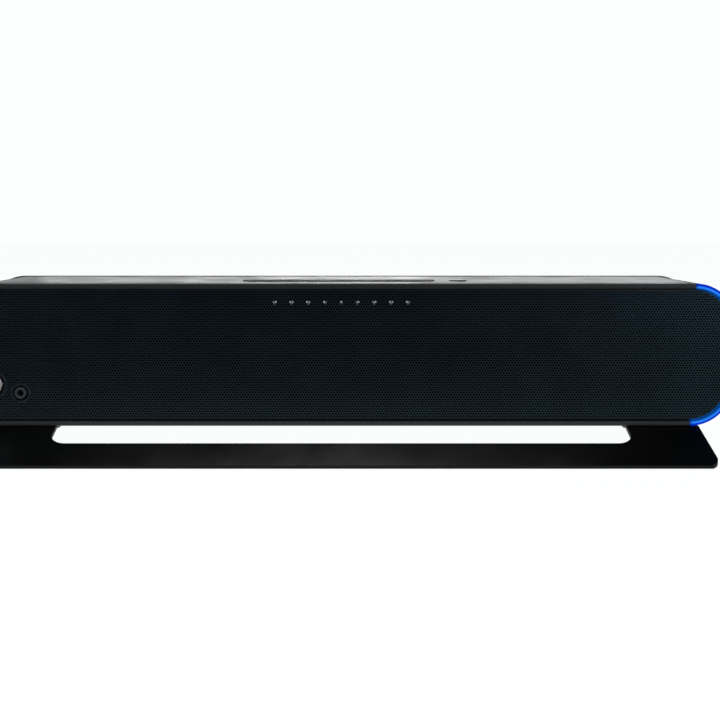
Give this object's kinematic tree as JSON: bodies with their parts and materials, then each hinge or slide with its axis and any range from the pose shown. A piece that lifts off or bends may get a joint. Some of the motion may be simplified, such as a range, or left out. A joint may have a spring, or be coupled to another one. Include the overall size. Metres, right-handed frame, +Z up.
{
  "type": "soundbar",
  "caption": "Desktop soundbar with rounded lit ends, perforated front, top keys, volume knob and headphone socket on a bent sheet stand.",
  "frame": {"origin": "on the desk, under the middle of the cabinet and midway between the front edge of the stand and the back of the rear cover", "axes": "+X towards the listener's right, -Y towards the listener, +Z up"},
  "size_m": [0.416, 0.1128, 0.0918],
  "materials": {
    "cabinet_plastic": "satin, fine moulded grain",
    "frame_plastic": "satin",
    "grille_paint": "semi-matt powder coat on perforated steel",
    "scrim_cloth": "open black acoustic cloth",
    "light_diffuser": "translucent, lit blue from behind",
    "led_tape": "white flexible strip",
    "inner_plastic": "plain moulded",
    "screw_steel": "zinc plated",
    "circuit_board": "green solder mask",
    "encoder_metal": "die cast, dull",
    "socket_plastic": "moulded",
    "light_pipe": "clear acrylic, frosted tip",
    "basket_steel": "black coat",
    "plated_steel": "zinc plated",
    "ferrite": "sintered",
    "surround_rubber": "soft matt",
    "spider_cloth": "resin-stiffened weave",
    "cone_paper": "coated pulp",
    "switch_metal": "stamped can",
    "heatsink_aluminium": "plain extruded",
    "capacitor_sleeve": "shrink sleeve",
    "ferrite_core": "moulded core",
    "chip_epoxy": "epoxy",
    "connector_nylon": "natural nylon",
    "rear_plastic": "satin, coarser grain",
    "seal_foam": "closed cell",
    "radiator_composite": "black coat",
    "line_in_plastic": "moulded",
    "usb_steel": "stamped shell",
    "stand_paint": "satin powder coat on steel sheet",
    "pad_rubber": "matt",
    "knob_metal": "turned and satin anodised",
    "shaft_steel": "turned",
    "key_plastic": "matt",
    "power_key_plastic": "satin",
    "lead_insulation": "silicone insulation"
  },
  "bodies": {
    "cabinet": {"main_shell": "cabinet_plastic", "front_frame": "frame_plastic", "grille": "grille_paint", "grille_scrim": "scrim_cloth", "left_light_guide": "light_diffuser", "right_light_guide": "light_diffuser", "left_led_strip": "led_tape", "right_led_strip": "led_tape", "front_baffle": "inner_plastic", "baffle_screws": "screw_steel", "front_io_bracket": "inner_plastic", "front_io_board": "circuit_board", "encoder_housing": "encoder_metal", "encoder_nut": "plated_steel", "headphone_jack": "socket_plastic", "indicator_board": "circuit_board", "indicator_light_pipes": "light_pipe", "left_basket": "basket_steel", "left_top_plate": "plated_steel", "left_magnet": "ferrite", "left_yoke": "plated_steel", "left_surround": "surround_rubber", "left_spider": "spider_cloth", "right_basket": "basket_steel", "right_top_plate": "plated_steel", "right_magnet": "ferrite", "right_yoke": "plated_steel", "right_surround": "surround_rubber", "right_spider": "spider_cloth", "driver_screws": "screw_steel", "key_board": "circuit_board", "tact_switches": "switch_metal", "main_board": "circuit_board", "board_heatsink": "heatsink_aluminium", "board_capacitors": "capacitor_sleeve", "board_inductors": "ferrite_core", "board_chips": "chip_epoxy", "board_connectors": "connector_nylon", "rear_cover": "rear_plastic", "rear_seal": "seal_foam", "rear_screws": "screw_steel", "radiator_surround": "surround_rubber", "aux_jack": "line_in_plastic", "usb_port": "usb_steel", "rear_io_board": "circuit_board", "stand": "stand_paint", "stand_screws": "screw_steel", "stand_pads": "pad_rubber", "speaker_leads": "lead_insulation"},
    "volume_knob": {"volume_knob": "knob_metal", "encoder_shaft": "shaft_steel"},
    "key_1": {"key_1": "key_plastic"},
    "key_2": {"key_2": "key_plastic"},
    "key_3": {"key_3": "key_plastic"},
    "key_4": {"key_4": "key_plastic"},
    "key_5": {"key_5": "key_plastic"},
    "power_key": {"power_key": "power_key_plastic"},
    "left_cone": {"left_cone": "cone_paper"},
    "right_cone": {"right_cone": "cone_paper"},
    "passive_radiator": {"radiator_plate": "radiator_composite"}
  },
  "joints": [
    {"name": "volume_turn", "type": "hinge", "parent": "cabinet", "child": "volume_knob", "pos_m": [-0.1855, -0.02161, 0.0375], "axis": [0, 1, 0], "continuous": true},
    {"name": "key_1_press", "type": "slide", "parent": "cabinet", "child": "key_1", "axis": [0, 0, -1], "range_m": [0, 0.0004], "stiffness_N_per_m": 1500, "springref_m": -0.0005},
    {"name": "key_2_press", "type": "slide", "parent": "cabinet", "child": "key_2", "axis": [0, 0, -1], "range_m": [0, 0.0004], "stiffness_N_per_m": 1500, "springref_m": -0.0005},
    {"name": "key_3_press", "type": "slide", "parent": "cabinet", "child": "key_3", "axis": [0, 0, -1], "range_m": [0, 0.0004], "stiffness_N_per_m": 1500, "springref_m": -0.0005},
    {"name": "key_4_press", "type": "slide", "parent": "cabinet", "child": "key_4", "axis": [0, 0, -1], "range_m": [0, 0.0004], "stiffness_N_per_m": 1500, "springref_m": -0.0005},
    {"name": "key_5_press", "type": "slide", "parent": "cabinet", "child": "key_5", "axis": [0, 0, -1], "range_m": [0, 0.0004], "stiffness_N_per_m": 1500, "springref_m": -0.0005},
    {"name": "power_key_press", "type": "slide", "parent": "cabinet", "child": "power_key", "axis": [0, 0, -1], "range_m": [0, 0.0004], "stiffness_N_per_m": 1500, "springref_m": -0.0005},
    {"name": "left_cone_travel", "type": "slide", "parent": "cabinet", "child": "left_cone", "axis": [0, -1, 0], "range_m": [-0.0025, 0.0025], "stiffness_N_per_m": 1000, "deforming": ["left_surround", "left_spider"]},
    {"name": "right_cone_travel", "type": "slide", "parent": "cabinet", "child": "right_cone", "axis": [0, -1, 0], "range_m": [-0.0025, 0.0025], "stiffness_N_per_m": 1000, "deforming": ["right_surround", "right_spider"]},
    {"name": "radiator_travel", "type": "slide", "parent": "cabinet", "child": "passive_radiator", "axis": [0, 1, 0], "range_m": [-0.002, 0.002], "stiffness_N_per_m": 800, "deforming": ["radiator_surround"]}
  ]
}
